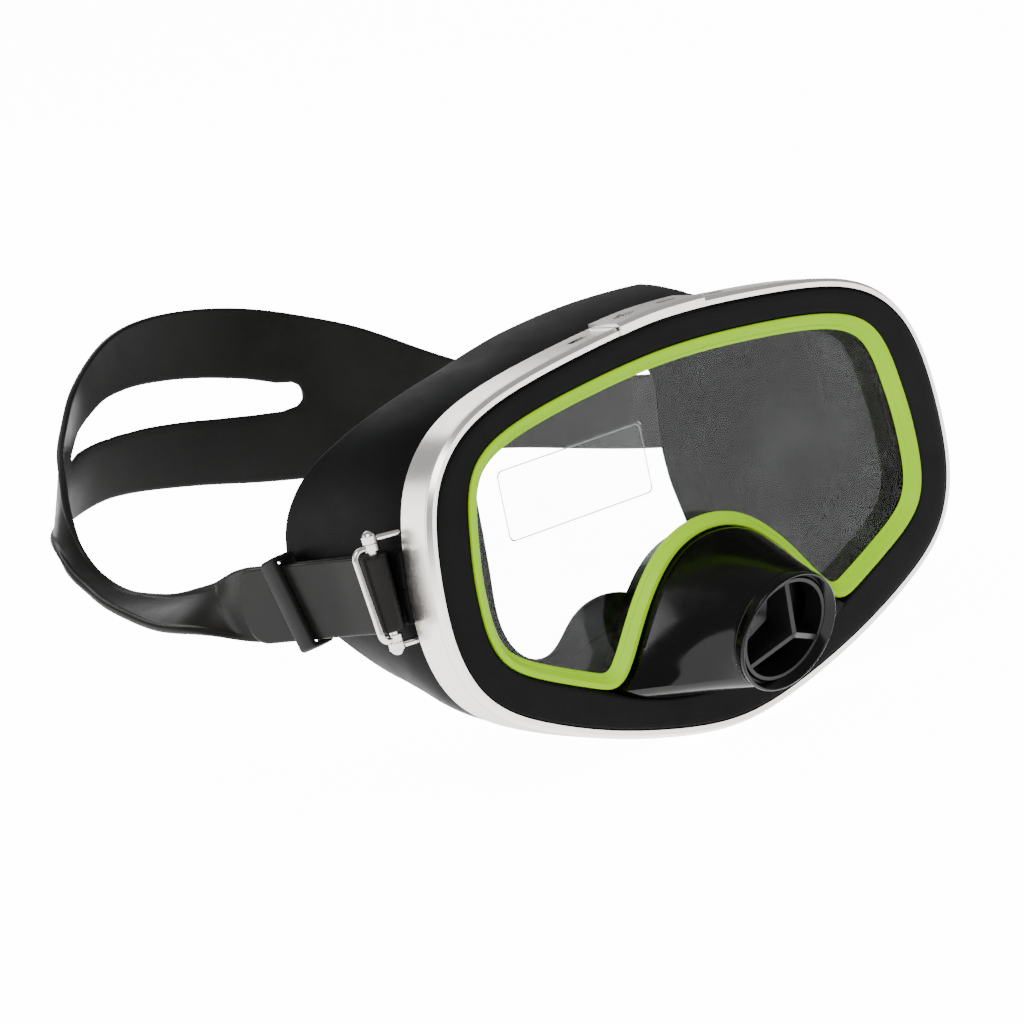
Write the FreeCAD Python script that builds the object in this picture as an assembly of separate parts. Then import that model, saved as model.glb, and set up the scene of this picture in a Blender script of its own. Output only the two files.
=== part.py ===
import FreeCAD, Part
import math, os

# Diving mask with a purge outlet. Millimetres; the mask looks along -Y, +Z is up, and the
# origin is the centre of the front rim's flat face. It is symmetric about x = 0 except for
# the strap's drape.

V = FreeCAD.Vector
os.makedirs("parts", exist_ok=True)

# ---------------------------------------------------------------- driving dimensions
BAND_T = 0.8            # stainless sheet
BAND_REAR = 11.5        # rear edge of the clamp band
LIP = 2.2               # how far the band stands outside the rim's front edge
GAP_HALF = 4.0          # half the gap between the band's ends
BRIDGE_HALF = 14.5      # half the cover plate's length
WALL = 2.4              # rubber wall
LENS_FRONT, LENS_T = 2.4, 4.0
TRIM_CREST, TRIM_W, TRIM_PROUD = 1.4, 2.9, 0.7
GASKET_W = 4.0
ARCH_SHARE = 0.88       # how much of the bead's width is left over the nose
TAU = math.radians(22.5)                # the outlet's axis leans down by this much
OUTLET = V(0, -23.4, -29.9)             # centre of the outlet's front face
TUBE_R, BORE_R = 16.3, 14.0
TUBE_L, BORE_L = 3.6, 14.0
BORE_STEP = 0.3                           # the pocket's end is this much smaller than the bore
BASE_FRONT = -2.3                       # the nose pocket leaves the rim straight up to here
FOOT_REAR = 11.0
PIN = V(92.1, 15.9, 7.0)                # centre of the right-hand axle pin
PIN_R, EYE_GAP = 1.1, 0.05
WIRE_R = 0.85
BOW_HALF, LEG_HALF = 11.6, 13.6         # where the bow's and the bracket's eyes sit on the pin
STRAP_T, STRAP_W = 2.0, 19.5
RUN_OUT, RUN_DOWN = math.radians(8.5), math.radians(3.0)
RUN_L, TAIL_L = 50.0, 48.0
KEEPER_AT, KEEPER_SLANT = 30.0, math.radians(16)

# Half outlines, x >= 0, from the top centre clockwise to the bottom centre: (x, z).
RIM = [(0, 51.9), (11, 51.5), (31.5, 49.6), (50, 47.0), (62.5, 43.9), (70.5, 40.2),
       (76.2, 35.6), (80.6, 29.6), (83.6, 21.5), (85.4, 10), (85.8, -1), (85.2, -8.5),
       (83.6, -15), (80.2, -21.8), (73.8, -28.4), (63.4, -34.6), (51.8, -39.8),
       (39.5, -44.3), (25.5, -48.3), (11.8, -51.2), (0, -52.2)]
WINDOW = [(0, 44.5), (9, 44.3), (30, 42.7), (47, 40.5), (57, 38.3), (63.6, 35.7),
          (68.6, 31.8), (71.8, 26.3), (74.0, 17.5), (75.5, 7), (75.8, -2.5), (74.9, -10.4),
          (72.2, -16.4), (67.3, -20.9), (59.5, -25.2), (51.5, -28.9)]
LENS_FOOT = [(45.5, -31.5), (41.0, -32.9), (37.9, -32.5), (35.1, -30.6), (32.4, -27.6),
             (29.3, -23.4), (24.6, -17.2), (19.4, -11.6), (13.2, -6.8), (6.8, -4.1),
             (0, -3.2)]
OVAL_FOOT = [(44, -32.4), (36, -36.2), (26, -39.8), (13, -42.5), (0, -43.3)]
ARCH = [(38.2, -34.2), (36.7, -33.0), (33.9, -30.7), (31.3, -27.3), (28.3, -22.9),
        (23.8, -16.8), (18.8, -11.4), (12.8, -7.0), (6.6, -4.5), (0, -3.7)]
FOOT_LOW = [(38.2, -34.2), (35.5, -36.1), (26, -39.7), (13, -42.3), (0, -43.1)]
ARCH_IN = [(33.9, -34.2), (32.0, -32.2), (29.2, -28.7), (26.2, -24.3), (21.8, -18.3),
           (17.1, -13.3), (11.5, -9.3), (6.0, -7.0), (0, -6.2)]
FOOT_LOW_IN = [(33.9, -34.2), (25.2, -37.4), (12.7, -39.9), (0, -40.6)]
SKIRT_17 = [(0, 55), (11, 54.7), (32, 52.8), (51.5, 50.0), (64.5, 46.6), (73, 42.5),
            (79, 37.2), (83.6, 30.6), (86.6, 21.7), (88.2, 10), (88.4, -1), (87.4, -9),
            (85.2, -16.2), (81.4, -23.2), (74.4, -29.8), (63.8, -35.8), (52.2, -40.8),
            (39.7, -45.2), (25.5, -49.1), (11.8, -51.8), (0, -52.6)]
SKIRT_35 = [(0, 57), (14, 56.7), (32, 55.3), (50, 53), (64, 49.4), (74, 44.5), (82, 37),
            (87.5, 28), (90.5, 17), (91, 6), (89.2, -4), (85.2, -12.5), (79.5, -20),
            (71.5, -26.6), (61.5, -32.4), (50, -37.4), (37.5, -41.8), (24.5, -45.4),
            (11.5, -47.6), (0, -48.2)]
SKIRT_62 = [(0, 60.5), (14, 60.2), (32, 58.8), (50, 56.3), (66, 52), (78, 45.5),
            (87, 36), (92, 26), (94.2, 15), (93.2, 3), (88.2, -7), (81, -15.5),
            (72.5, -22), (62.5, -27.6), (51, -32.4), (38.5, -36.4), (26, -39.2),
            (13, -41), (0, -41.6)]
FACE = [(0, 38.5), (10, 38.3), (20, 37.3), (27, 34.2), (31, 28.5), (32.2, 20), (32.3, 10),
        (32.8, 0), (34, -9), (35, -17), (34.2, -24.5), (30.5, -29.5), (24.5, -31), (17.5, -28.6),
        (11, -24.6), (5.5, -22.6), (0, -22)]
SEAL_DEPTH = 50.0       # how far back the face seal would reach at the middle
# Depth of the face seal's rear edge against the angle round the rim, in degrees from +X.
REAR_EDGE = [(90, 35), (63, 33.5), (45, 29), (36, 32), (30, 38), (25.8, 44.5), (22.6, 48.5),
             (17.4, 51.3), (13.8, 52.5), (2, 51), (-3, 46.7), (-6.7, 42), (-11, 39.8),
             (-15, 38.6), (-25, 38.4), (-39, 38), (-59, 37), (-90, 36)]
# The strap's two long edges between its straight ends: (upper edge point, lower edge point).
STRAP_LOOP = [
    ((-95.2, 79.7, 9.3), (-105.2, 79.3, -1.4)),
    ((-93.0, 91.5, 6.5), (-108.0, 91.5, 0.2)),
    ((-92.2, 104.1, 4.3), (-108.2, 104.9, 3.4)),
    ((-92.0, 114.8, 4.0), (-106.9, 116.1, 6.4)),
    ((-92.0, 125.5, 5.0), (-103.4, 127.3, 9.0)),
    ((-91.8, 137.2, 10.5), (-100.5, 137.3, 11.8)),
    ((-89.0, 146.9, 19.0), (-96.0, 147.3, 14.6)),
    ((-84.6, 154.9, 27.0), (-89.8, 157.8, 16.0)),
    ((-78.8, 162.6, 33.0), (-83.8, 166.8, 15.8)),
    ((-71.7, 171.8, 38.0), (-76.2, 176.4, 15.4)),
    ((-62.8, 180.4, 43.0), (-66.2, 185.4, 15.5)),
    ((-54.2, 187.2, 48.5), (-55.9, 191.2, 16.0)),
    ((-44.3, 192.1, 54.0), (-45.3, 194.9, 16.2)),
    ((-34.0, 195.5, 58.3), (-34.5, 197.5, 15.0)),
    ((-21.4, 198.4, 60.2), (-21.5, 199.4, 12.6)),
    ((-6.5, 200.0, 59.4), (-6.5, 200.0, 9.4)),
    ((8.5, 199.6, 56.7), (8.5, 199.6, 5.8)),
    ((21.3, 197.9, 52.9), (21.3, 197.9, 3.2)),
    ((35.8, 193.9, 46.8), (35.8, 193.9, 0.6)),
    ((47.5, 188.4, 40.6), (47.5, 188.4, -0.8)),
    ((59.1, 180.4, 31.8), (59.1, 180.4, -0.8)),
    ((69.7, 169.9, 23.6), (69.7, 169.9, -1.4)),
    ((80.8, 153.3, 17.0), (80.8, 153.3, -4.2)),
    ((90.3, 130.3, 14.2), (90.3, 130.3, -7.0)),
    ((96.8, 101.1, 13.6), (96.8, 101.1, -7.2)),
]
# The slot: plan position, lower and upper edge.
STRAP_SLOT = [(-62.0, 185.6, 31.0, 32.4), (-55.0, 189.4, 32.2, 37.5), (-47.7, 192.5, 32.5, 40.5),
              (-40.1, 195.0, 32.2, 42.8), (-31.3, 197.2, 31.6, 43.4), (-16.5, 199.4, 29.9, 42.1),
              (-1.5, 200.0, 27.0, 38.9), (12.4, 199.2, 24.5, 34.9), (21.3, 197.9, 23.2, 31.4),
              (25.6, 196.9, 23.5, 30.4), (27.6, 196.4, 24.9, 28.8)]


# ---------------------------------------------------------------- outline helpers
def closed(half):
    """Both halves of a symmetric outline, clockwise from the top centre."""
    return list(half) + [(-x, z) for x, z in reversed(half[1:-1])]


def curve(points, y=0.0, periodic=True):
    c = Part.BSplineCurve()
    c.interpolate([V(x, y, z) for x, z in points], PeriodicFlag=periodic)
    return c


def sampled(half, n=120):
    """An even sampling of the closed outline, starting at the top centre."""
    pts = curve(closed(half)).toShape().discretize(n + 1)[:-1]
    return [(p.x, p.z) for p in pts]


def moved_out(points, d):
    """Offset every point along the outline's outward normal by d."""
    if abs(d) < 1e-9:
        return list(points)
    out = []
    n = len(points)
    for i in range(n):
        (ax, az), (bx, bz) = points[i - 1], points[(i + 1) % n]
        tx, tz = bx - ax, bz - az
        length = math.hypot(tx, tz)
        out.append((points[i][0] - tz / length * d, points[i][1] + tx / length * d))
    return out


def narrowed(points, d):
    """Inset by d, but only by a share of it over the nose."""
    inset = moved_out(points, d)
    out = []
    for (x, z), (a, b) in zip(points, inset):
        share = min(1.0, ARCH_SHARE + (1 - ARCH_SHARE) * abs(x) / 36.0) if z < 0 else 1.0
        out.append((x + (a - x) * share, z + (b - z) * share))
    return out


def bead(steps):
    wires = [Part.Wire([curve(narrowed(sampled(LENS), d), y).toShape()]) for d, y in steps]
    return Part.makeLoft(wires, True, True)


def ring_wire(half, d, y):
    return Part.Wire([curve(moved_out(sampled(half), d), y).toShape()])


def prism(half, d, y0, y1):
    return Part.Face(ring_wire(half, d, y0)).extrude(V(0, y1 - y0, 0))


def stack(half, steps):
    """A solid through (offset, y) steps of one outline, straight between them."""
    return Part.makeLoft([ring_wire(half, d, y) for d, y in steps], True, True)


def save(shape, name):
    solids = shape.Solids
    assert len(solids) >= 1, name
    body = solids[0] if len(solids) == 1 else Part.makeCompound(solids)
    assert body.isValid() and body.Volume > 0, name + " is not valid"
    body.exportStep("parts/" + name + ".step")
    box = body.BoundBox
    print("%-20s solids %d  volume %9.1f  box %6.1f %6.1f %6.1f" % (
        name, len(solids), body.Volume, box.XLength, box.YLength, box.ZLength))


def mirrored(shape):
    return shape.mirror(V(0, 0, 0), V(1, 0, 0))


# ---------------------------------------------------------------- rubber body
OVAL = WINDOW + OVAL_FOOT
LENS = WINDOW + LENS_FOOT


def table(value, rows):
    for (a, ya), (b, yb) in zip(rows, rows[1:]):
        if b <= value <= a:
            return ya + (yb - ya) * (a - value) / (a - b)
    return rows[-1][1]


REAR_OUTLINE = sampled(SKIRT_35, 180)


def outline_radius(angle):
    """Distance from the centre to the skirt's outline in the direction of angle."""
    best = min(REAR_OUTLINE, key=lambda p: abs(math.atan2(p[1], p[0]) - angle))
    return math.hypot(*best)


def rear_depth(x, z):
    x = abs(x)
    angle = math.atan2(z, x) if (x or z) else math.pi / 2
    edge = table(math.degrees(angle), REAR_EDGE)
    share = min(1.35, math.hypot(x, z) / outline_radius(angle))
    return SEAL_DEPTH + (edge - SEAL_DEPTH) * share ** 3


def behind(offset):
    """Everything behind the curved surface the face rests against, moved by offset."""
    rows = []
    for i in range(29):
        x = -112 + 8 * i
        rows.append([V(x, rear_depth(x, -72 + 8 * j) + offset, -72 + 8 * j) for j in range(19)])
    surface = Part.BSplineSurface()
    surface.interpolate(rows)
    return surface.toShape().extrude(V(0, 120, 0))


def skirt_loft(inset):
    wires = [ring_wire(RIM, 1.2 - inset, 11.0), ring_wire(SKIRT_17, -inset, 17.0),
             ring_wire(SKIRT_35, -inset, 35.0), ring_wire(SKIRT_62, -inset, 62.0)]
    return Part.makeLoft(wires, True, False)


def make_rubber_body():
    front = stack(RIM, [(-1.0, 0.0), (-0.3, 0.3), (0.0, 1.0), (0.0, 1.25)])
    front = front.fuse(prism(RIM, 1.2, 1.25, 11.0))
    outer = front.fuse(skirt_loft(0.0)).removeSplitter()
    hollow = Part.makeLoft([ring_wire(RIM, -5.0, 8.8), ring_wire(RIM, -2.2, 14.0),
                            ring_wire(SKIRT_35, -WALL, 35.0), ring_wire(SKIRT_62, -WALL, 62.0)],
                           True, False)
    window = prism(OVAL, 0.1, -1.0, 9.0)
    rear = behind(0.0)
    body = outer.cut(hollow).cut(window).cut(rear)
    seal = skirt_loft(0.6).cut(rear).common(behind(-1.8))
    seal = seal.cut(prism(FACE, 0.0, 0.0, 80.0)).cut(prism(RIM, 30.0, -1.0, 18.0))
    return body.fuse(seal)


# ---------------------------------------------------------------- nose pocket and purge valve
AXIS = V(0, -math.cos(TAU), -math.sin(TAU))
SIDE = V(1, 0, 0)
UP = AXIS.cross(SIDE)


def on_axis(back):
    return OUTLET - AXIS * back


def tube(r, back0, back1):
    return Part.makeCylinder(r, back1 - back0, on_axis(back1), AXIS)


def split_circle(r, back):
    """The outlet's circle as a lower-right-to-lower-left pair of arcs over and under."""
    c = on_axis(back)

    def at(deg):
        a = math.radians(deg)
        return c + SIDE * (r * math.cos(a)) + UP * (r * math.sin(a))

    over = Part.Arc(at(-40), at(90), at(220)).toShape()
    under = Part.Arc(at(220), at(270), at(320)).toShape()
    return Part.Wire([over, under])


def foot_wire(arch, low, y):
    over = list(arch) + [(-x, z) for x, z in reversed(arch[:-1])]
    under = [(-x, z) for x, z in low] + [(x, z) for x, z in reversed(low[:-1])]
    return Part.Wire([curve(over, y, False).toShape(), curve(under, y, False).toShape()])


def make_nose_cone():
    foot = foot_wire(ARCH, FOOT_LOW, FOOT_REAR)
    base = Part.Face(foot).extrude(V(0, BASE_FRONT - FOOT_REAR, 0))
    flow = Part.makeLoft([foot_wire(ARCH, FOOT_LOW, BASE_FRONT), split_circle(TUBE_R, TUBE_L)],
                         True, True)
    body = base.fuse(flow).fuse(tube(TUBE_R, 0, TUBE_L))
    pocket = Part.makeLoft([foot_wire(ARCH_IN, FOOT_LOW_IN, FOOT_REAR + 1),
                            foot_wire(ARCH_IN, FOOT_LOW_IN, -1.0),
                            split_circle(BORE_R - BORE_STEP, BORE_L)], True, True)
    hollow = pocket.fuse(tube(BORE_R, -1, BORE_L + 0.6))
    bevel = Part.makeCone(BORE_R - 0.2, TUBE_R - 0.4, 3.2, on_axis(2.7), AXIS)
    groove = tube(TUBE_R + 2, 2.6, 3.1).cut(tube(TUBE_R - 0.3, 2.4, 3.3))
    return body.cut(hollow).cut(bevel).cut(groove)


def spoke(deg, reach, thick, hub_front, wall_front, back):
    """A blade from the axis out to a radius, its front edge sloping back towards the wall."""
    a = math.radians(deg)
    out = SIDE * math.cos(a) + UP * math.sin(a)
    across = AXIS.cross(out)
    corners = [on_axis(hub_front), on_axis(wall_front) + out * reach,
               on_axis(back) + out * reach, on_axis(back)]
    corners = [c - across * (thick / 2) for c in corners]
    return Part.Face(Part.makePolygon(corners + corners[:1])).extrude(across * thick)


def make_purge_guard():
    body = tube(BORE_R - 0.05, 2.0, 8.0).cut(tube(BORE_R - 1.0, 1.0, 9.0))
    for deg in (93, 213, 333):
        body = body.fuse(spoke(deg, BORE_R - 0.6, 1.4, -1.6, 2.0, 8.0))
    return body.fuse(tube(1.1, -1.2, 8.0)).removeSplitter()


def make_valve_seat():
    body = tube(BORE_R - 0.05, 12.0, 13.8).cut(tube(10.6, 11.0, 14.8))
    body = body.fuse(tube(2.8, 12.0, 13.8))
    for deg in (30, 150, 270):
        body = body.fuse(spoke(deg, 11.5, 1.8, 12.0, 12.0, 13.8))
    return body.cut(tube(1.25, 11, 15)).removeSplitter()


def make_valve_disc():
    return tube(12.0, 11.0, 11.95).fuse(tube(1.2, 10.9, 16.0)).fuse(tube(1.7, 16.0, 17.0))


# ---------------------------------------------------------------- lens, bead and label
def make_window_trim():
    outer = stack(LENS, [(-0.3, -TRIM_PROUD), (-0.02, -0.35), (-0.02, 2.3)])
    inner = bead([(-TRIM_CREST, -TRIM_PROUD - 0.01), (-TRIM_W, 1.1), (-TRIM_W, 2.31)])
    return outer.cut(inner)


def make_lens_gasket():
    outer = bead([(-TRIM_W - 0.03, 1.1), (-TRIM_W - 0.03, 2.3)])
    inner = bead([(-TRIM_W - 0.25, 1.09), (-GASKET_W, 2.0), (-GASKET_W, 2.31)])
    return outer.cut(inner)


def make_lens():
    return prism(LENS, -0.5, LENS_FRONT, LENS_FRONT + LENS_T)


def make_lens_label():
    x, z, w, h, lean = -33.3, 18.6, 49.0, 19.0, math.radians(-0.5)
    corners = []
    for u, v in ((-w / 2, -h / 2), (w / 2, -h / 2), (w / 2, h / 2), (-w / 2, h / 2)):
        corners.append(V(x + u * math.cos(lean) - v * math.sin(lean), LENS_FRONT + LENS_T + 0.02,
                         z + u * math.sin(lean) + v * math.cos(lean)))
    film = Part.Face(Part.makePolygon(corners + corners[:1])).extrude(V(0, 0.12, 0))
    edges = [e for e in film.Edges if abs(e.Length - 0.12) < 1e-6]
    return film.makeFillet(1.5, edges)


# ---------------------------------------------------------------- clamp band
def slot(x, half_length, half_width, y):
    """An upright long hole through the top of the band."""
    a = Part.makeBox(2 * (half_length - half_width), 2 * half_width, 20,
                     V(x - half_length + half_width, y - half_width, 46))
    for s in (-1, 1):
        a = a.fuse(Part.makeCylinder(half_width, 20,
                                     V(x + s * (half_length - half_width), y, 46), V(0, 0, 1)))
    return a


def make_steel_band():
    outer = stack(RIM, [(1.3, 0.25), (LIP, 1.5), (LIP, BAND_REAR)])
    body = outer.cut(prism(RIM, 0.08, -1.0, 1.1)).cut(prism(RIM, LIP - BAND_T, 1.1, 13.0))
    crease = prism(RIM, LIP + 2, 1.9, 2.2).cut(prism(RIM, LIP - 0.2, 1.7, 2.4))
    body = body.cut(crease)
    body = body.cut(Part.makeBox(2 * GAP_HALF, 20, 20, V(-GAP_HALF, -2, 45)))
    for x in (-23.5, 23.5, -7.2, 7.2):
        body = body.cut(slot(x, 3.0 if abs(x) > 15 else 2.4, 1.1, 6.3))
    return body


def make_band_bridge():
    outer = stack(RIM, [(LIP + 0.1, -0.45), (LIP + 0.95, 0.9), (LIP + 0.95, BAND_REAR + 0.3)])
    body = outer.cut(prism(RIM, 0.15, -1.0, 0.15)).cut(prism(RIM, LIP + 0.1, 0.15, 13.0))
    body = body.common(Part.makeBox(2 * BRIDGE_HALF, 20, 20, V(-BRIDGE_HALF, -3, 45)))
    body = body.cut(slot(-7.2, 3.2, 1.2, 6.3)).cut(slot(7.2, 3.0, 1.0, 6.3))
    return body.cut(Part.makeBox(1.6, 4.6, 20, V(-8.0, 4.0, 46)))


def make_band_splice():
    plate = prism(RIM, LIP - 0.05, 2.6, 10.6).cut(prism(RIM, LIP - 0.7, 2.0, 11.0))
    return plate.common(Part.makeBox(2 * GAP_HALF - 0.3, 20, 20, V(-GAP_HALF + 0.15, -3, 45)))


# ---------------------------------------------------------------- strap and buckles
def unit(v):
    return V(v).normalize()


# The straight ends' own frame, right-hand side: along the strap, outward and up its width.
RUN = unit(V(math.sin(RUN_OUT) * math.cos(RUN_DOWN), math.cos(RUN_OUT) * math.cos(RUN_DOWN),
             -math.sin(RUN_DOWN)))
OUT = unit(V(math.cos(RUN_OUT), -math.sin(RUN_OUT), 0))
WIDE = unit(OUT.cross(RUN))


def at(u, n, w=0.0):
    return PIN + RUN * u + OUT * n + WIDE * w


def extruded(points, w0, w1):
    ring = [at(u, n, w0) for u, n in points]
    return Part.Face(Part.makePolygon(ring + ring[:1])).extrude(WIDE * (w1 - w0))


LAYER, WRAP = 1.2, 2.2              # half spacing of the two layers, and at the pin
HALF_T = STRAP_T / 2


def make_strap_end():
    h = STRAP_W / 2
    inner = extruded([(0, -WRAP - HALF_T), (14, -LAYER - HALF_T), (RUN_L, -LAYER - HALF_T),
                      (RUN_L, -LAYER + HALF_T), (14, -LAYER + HALF_T), (0, -WRAP + HALF_T)],
                     -h, h)
    tail = extruded([(0, WRAP - HALF_T), (14, LAYER - HALF_T), (TAIL_L, LAYER - HALF_T),
                     (TAIL_L, LAYER + HALF_T), (14, LAYER + HALF_T), (0, WRAP + HALF_T)],
                    -h, h)
    for s in (-1, 1):
        corner = extruded([(TAIL_L - 6, -0.5), (TAIL_L + 1, -0.5), (TAIL_L + 1, 4),
                           (TAIL_L - 6, 4)], s * h, s * (h - 6))
        corner = corner.cut(Part.makeCylinder(6, 12, at(TAIL_L - 6, -3, s * (h - 6)), OUT))
        tail = tail.cut(corner)
    turn = Part.makeCylinder(WRAP + HALF_T, STRAP_W, at(0, 0, -h), WIDE)
    turn = turn.cut(Part.makeCylinder(WRAP - HALF_T, STRAP_W + 2, at(0, 0, -h - 1), WIDE))
    turn = turn.cut(extruded([(0, -9), (9, -9), (9, 9), (0, 9)], -h - 1, h + 1))
    return inner.fuse(tail).fuse(turn)


def section(upper, lower, run, thick):
    across = unit((upper - lower).cross(run)) * (thick / 2)
    ring = [upper + across, lower + across, lower - across, upper - across]
    return Part.makePolygon(ring + ring[:1])


def make_strap():
    h = STRAP_W / 2
    flip = FreeCAD.Matrix(-1, 0, 0, 0, 0, 1, 0, 0, 0, 0, 1, 0)
    first = [(flip.multiply(at(u, -LAYER, h)), flip.multiply(at(u, -LAYER, -h)))
             for u in (RUN_L - 4, RUN_L)]
    last = [(at(u, -LAYER, h), at(u, -LAYER, -h)) for u in (RUN_L, RUN_L - 4)]
    edges = first + [(V(*a), V(*b)) for a, b in STRAP_LOOP] + last
    wires = []
    for i, (a, b) in enumerate(edges):
        if i in (0, 1):
            run = edges[1][0] - edges[0][0]
        elif i in (len(edges) - 2, len(edges) - 1):
            run = edges[-1][0] - edges[-2][0]
        else:
            run = (edges[i + 1][0] + edges[i + 1][1]) - (edges[i - 1][0] + edges[i - 1][1])
        wires.append(section(a, b, run, STRAP_T))
    loop = Part.makeLoft(wires, True, False)
    cuts = []
    for i, (x, y, low, high) in enumerate(STRAP_SLOT):
        j, k = max(0, i - 1), min(len(STRAP_SLOT) - 1, i + 1)
        run = V(STRAP_SLOT[k][0] - STRAP_SLOT[j][0], STRAP_SLOT[k][1] - STRAP_SLOT[j][1], 0)
        cuts.append(section(V(x, y, high), V(x, y, low), run, 14.0))
    opening = Part.makeLoft(cuts, True, False)
    end = make_strap_end()
    return loop.cut(opening).fuse(end).fuse(mirrored(end))


def make_keeper():
    """A loop round both layers, on the right-hand side."""
    c, s = math.cos(KEEPER_SLANT), math.sin(KEEPER_SLANT)

    def block(du, inner, outer, dw):
        ring = []
        for p, q in ((-du, -dw), (du, -dw), (du, dw), (-du, dw)):
            u, w = p * c + q * s, -p * s + q * c
            ring.append(at(KEEPER_AT + u, -inner, w))
        return Part.Face(Part.makePolygon(ring + ring[:1])).extrude(OUT * (inner + outer))

    return block(2.7, 3.5, 4.4, 12.4).cut(block(5, 2.45, 2.75, 11.2))


def pin_at(along, out=0.0, back=0.0):
    """A point by its place along the pin, outward from it and back along the strap."""
    return PIN + WIDE * along + OUT * out + RUN * back


def make_pin():
    body = Part.makeCylinder(PIN_R, 29.2, pin_at(-14.6), WIDE)
    for s in (-1, 1):
        head = Part.makeSphere(1.9, pin_at(s * 14.0))
        slab = Part.makeCylinder(3, 1.4, pin_at(14.6 if s > 0 else -16.0), WIDE)
        body = body.fuse(head.common(slab))
    return body.removeSplitter()


def eye(along, height, outer):
    return Part.makeCylinder(outer, height, pin_at(along - height / 2), WIDE)


def eye_hole(along, height):
    return Part.makeCylinder(PIN_R + EYE_GAP, height + 2, pin_at(along - height / 2 - 1), WIDE)


def rounded_path(points, radius):
    """A wire through points with its inner corners rounded."""
    edges, start = [], points[0]
    for before, corner, after in zip(points, points[1:], points[2:]):
        a, b = unit(before - corner), unit(after - corner)
        half = a.getAngle(b) / 2
        reach = radius / math.tan(half)
        p, q = corner + a * reach, corner + b * reach
        middle = corner + unit(a + b) * (radius / math.sin(half) - radius)
        edges += [Part.LineSegment(start, p).toShape(), Part.Arc(p, middle, q).toShape()]
        start = q
    edges.append(Part.LineSegment(start, points[-1]).toShape())
    return Part.Wire(edges)


def bent_wire(points, radius, thick=WIRE_R):
    profile = Part.Wire([Part.makeCircle(thick, points[0], unit(points[1] - points[0]))])
    return rounded_path(points, radius).makePipeShell([profile], True, False)


# The bow's bar lies over the strap, a little askew.
BAR_TOP = pin_at(BOW_HALF, 4.75, 1.9)
BAR_LOW = pin_at(-BOW_HALF, 4.75, -0.5)


def make_bow():
    tops = pin_at(BOW_HALF) + unit(BAR_TOP - pin_at(BOW_HALF)) * 1.5
    lows = pin_at(-BOW_HALF) + unit(BAR_LOW - pin_at(-BOW_HALF)) * 1.5
    body = bent_wire([tops, BAR_TOP, BAR_LOW, lows], 2.2)
    for s in (-1, 1):
        body = body.fuse(eye(s * BOW_HALF, 1.7, 2.0))
    for s in (-1, 1):
        body = body.cut(eye_hole(s * BOW_HALF, 1.7))
    return body


def rim_x(z):
    """Half-width of the rim at a height, on the side."""
    rows = [p for p in sampled(RIM, 400) if p[0] > 60]
    return min(rows, key=lambda p: abs(p[1] - z))[0]


def leg_points(s):
    tip = pin_at(s * LEG_HALF)
    x = rim_x(tip.z) + 0.2
    return [V(x, 4.0, tip.z), V(x, 12.9, tip.z), tip]


def make_legs():
    legs = []
    for s in (-1, 1):
        start, knee, tip = leg_points(s)
        wire = bent_wire([start, knee, tip + unit(knee - tip) * 1.5], 1.6)
        ring = eye(s * LEG_HALF, 1.8, 2.05)
        legs.append(wire.fuse(ring).cut(eye_hole(s * LEG_HALF, 1.8)))
    return legs


def leg_grooves():
    grooves = []
    for s in (-1, 1):
        start, knee, tip = leg_points(s)
        grooves.append(bent_wire([start - V(0, 0.6, 0), knee, tip], 1.6, WIRE_R + 0.1))
    return grooves


def make_pad():
    """A black pad on the side wall between the bracket's legs, with a slit across it."""
    skin = skirt_loft(-0.65).cut(skirt_loft(-0.03))
    z0 = PIN.z - 9.5
    pad = skin.common(Part.makeBox(20, 2.6, 19, V(80, 12.1, z0)))
    return pad.cut(Part.makeBox(20, 6, 0.35, V(PIN.x - 3.65, 10, PIN.z - 0.5)))


if __name__ == "__main__":
    rubber = make_rubber_body()
    for groove in leg_grooves():
        rubber = rubber.cut(groove).cut(mirrored(groove))
    save(rubber, "rubber_body")
    save(make_nose_cone(), "nose_cone")
    save(make_lens(), "lens")
    save(make_window_trim(), "window_trim")
    save(make_lens_gasket(), "lens_gasket")
    save(make_lens_label(), "lens_label")
    save(make_steel_band(), "steel_band")
    save(make_band_bridge(), "band_bridge")
    save(make_band_splice(), "band_splice")
    save(make_purge_guard(), "purge_guard")
    save(make_valve_seat(), "valve_seat")
    save(make_valve_disc(), "valve_disc")
    save(make_strap(), "strap")
    for name, shape in (("keeper", make_keeper()), ("buckle_bow", make_bow()),
                        ("buckle_pin", make_pin()), ("lug_bracket", Part.makeCompound(make_legs())),
                        ("lug_pad", make_pad())):
        save(shape, name + "_right")
        save(mirrored(shape), name + "_left")
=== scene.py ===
import math

import bmesh
import bpy
import numpy as np
from mathutils import Matrix, Vector


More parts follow.
